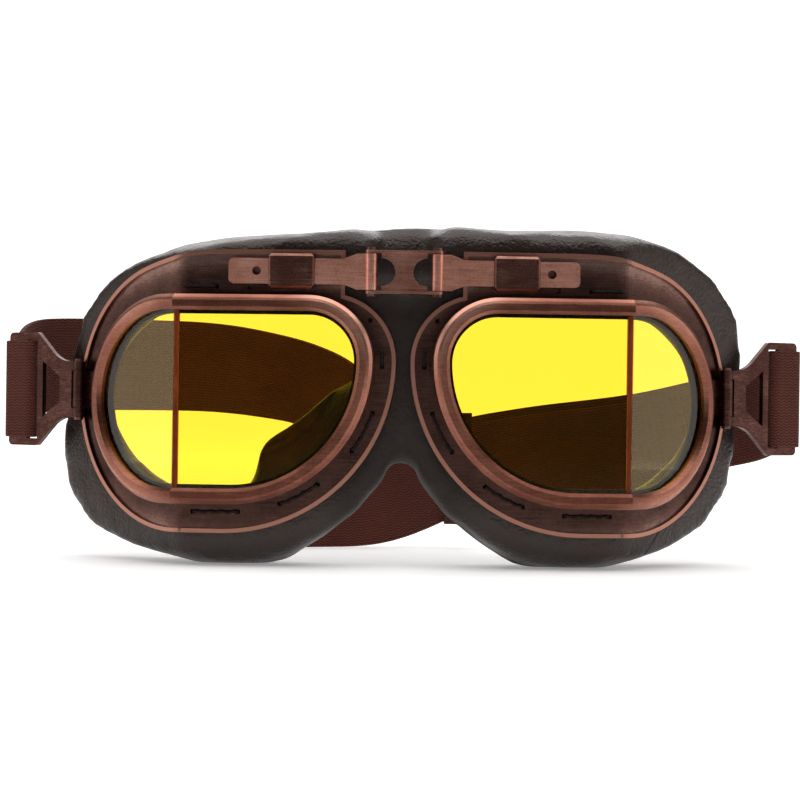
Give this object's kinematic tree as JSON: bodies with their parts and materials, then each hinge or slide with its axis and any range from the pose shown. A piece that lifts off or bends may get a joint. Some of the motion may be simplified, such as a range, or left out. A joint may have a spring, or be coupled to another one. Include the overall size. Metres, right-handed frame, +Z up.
{
  "type": "goggles",
  "caption": "Wrap-around riding goggles with split yellow lenses in copper rims, a sliding hinged bridge, leather face pads and an elastic strap on hinged buckles.",
  "frame": {"origin": "on the floor under the middle of the goggles' outer box", "axes": "+X across the face towards the viewer's right, -Y towards the lenses' front, +Z up"},
  "size_m": [0.2248, 0.1076, 0.0922],
  "materials": {
    "copper": "brushed antique copper",
    "dark_copper": "darkened antique copper",
    "pin_metal": "darkened steel",
    "yellow_lens": "clear tinted polycarbonate",
    "gasket": "matt",
    "leather": "smooth grain",
    "elastic": "ribbed elastic webbing"
  },
  "bodies": {
    "bridge": {"bridge_link": "copper", "left_bridge_pin": "pin_metal", "right_bridge_pin": "pin_metal", "nose_gusset": "leather", "left_strap": "elastic", "right_strap": "elastic", "strap_adjuster": "gasket"},
    "left_arm": {"left_bridge_arm": "copper"},
    "left_cup": {"left_rim": "copper", "left_front_lens": "yellow_lens", "left_side_lens": "yellow_lens", "left_lens_gasket": "gasket", "left_eyecup": "dark_copper", "left_face_pad": "leather", "left_bridge_keeper": "copper", "left_temple_lug": "copper", "left_temple_pin": "pin_metal"},
    "left_buckle": {"left_buckle": "copper", "left_strap_loop": "elastic"},
    "right_arm": {"right_bridge_arm": "copper"},
    "right_cup": {"right_rim": "copper", "right_front_lens": "yellow_lens", "right_side_lens": "yellow_lens", "right_lens_gasket": "gasket", "right_eyecup": "dark_copper", "right_face_pad": "leather", "right_bridge_keeper": "copper", "right_temple_lug": "copper", "right_temple_pin": "pin_metal"},
    "right_buckle": {"right_buckle": "copper", "right_strap_loop": "elastic"}
  },
  "joints": [
    {"name": "left_bridge_hinge", "type": "hinge", "parent": "bridge", "child": "left_arm", "pos_m": [-0.0088, -0.04986, 0.0789], "axis": [0, 0, -1], "range_deg": [-5, 10], "deforming": ["left_strap", "nose_gusset"]},
    {"name": "left_bridge_slide", "type": "slide", "parent": "left_arm", "child": "left_cup", "axis": [-0.9976, 0.0698, 0], "range_m": [-0.0008, 0.005]},
    {"name": "left_buckle_hinge", "type": "hinge", "parent": "left_cup", "child": "left_buckle", "pos_m": [-0.08963, -0.02229, 0.0468], "axis": [0, 0, -1], "range_deg": [-35, 12]},
    {"name": "right_bridge_hinge", "type": "hinge", "parent": "bridge", "child": "right_arm", "pos_m": [0.0088, -0.04986, 0.0789], "axis": [0, 0, 1], "range_deg": [-5, 10], "deforming": ["right_strap"]},
    {"name": "right_bridge_slide", "type": "slide", "parent": "right_arm", "child": "right_cup", "axis": [0.9976, 0.0698, 0], "range_m": [-0.0008, 0.005]},
    {"name": "right_buckle_hinge", "type": "hinge", "parent": "right_cup", "child": "right_buckle", "pos_m": [0.08963, -0.02229, 0.0468], "axis": [0, 0, 1], "range_deg": [-35, 12]}
  ]
}
